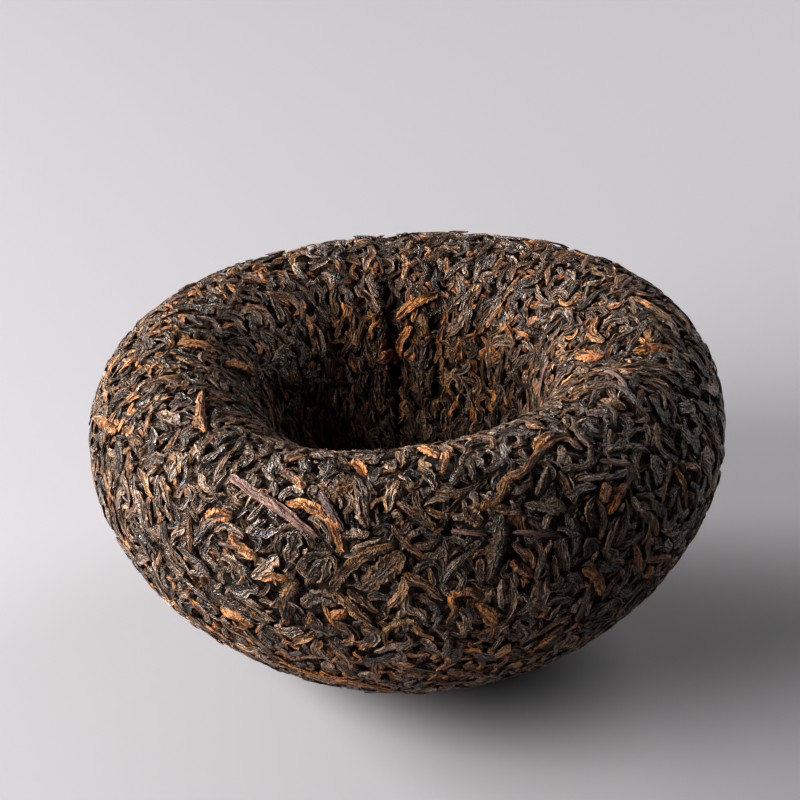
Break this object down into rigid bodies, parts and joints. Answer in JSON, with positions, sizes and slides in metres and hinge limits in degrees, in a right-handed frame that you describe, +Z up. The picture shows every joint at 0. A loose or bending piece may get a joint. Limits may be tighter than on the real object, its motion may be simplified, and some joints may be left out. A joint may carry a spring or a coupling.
{
  "type": "pu-erh tuocha",
  "caption": "Bowl-shaped cake of pressed dark tea leaves, a thick ring round a deep hollow over a domed underside that it rests on.",
  "frame": {"origin": "under the middle of the cake's outline, on the surface that it rests on", "axes": "+Z up, out of the open hollow; +X to the picture's right and +Y away from its camera"},
  "size_m": [0.0836, 0.0823, 0.0454],
  "materials": {
    "pressed_leaves": "dry, twisted tea leaves pressed together, charcoal brown with mid brown and golden tips, dull with a slight grey sheen"
  },
  "bodies": {
    "root": {"tea_cake": "pressed_leaves"}
  },
  "joints": []
}
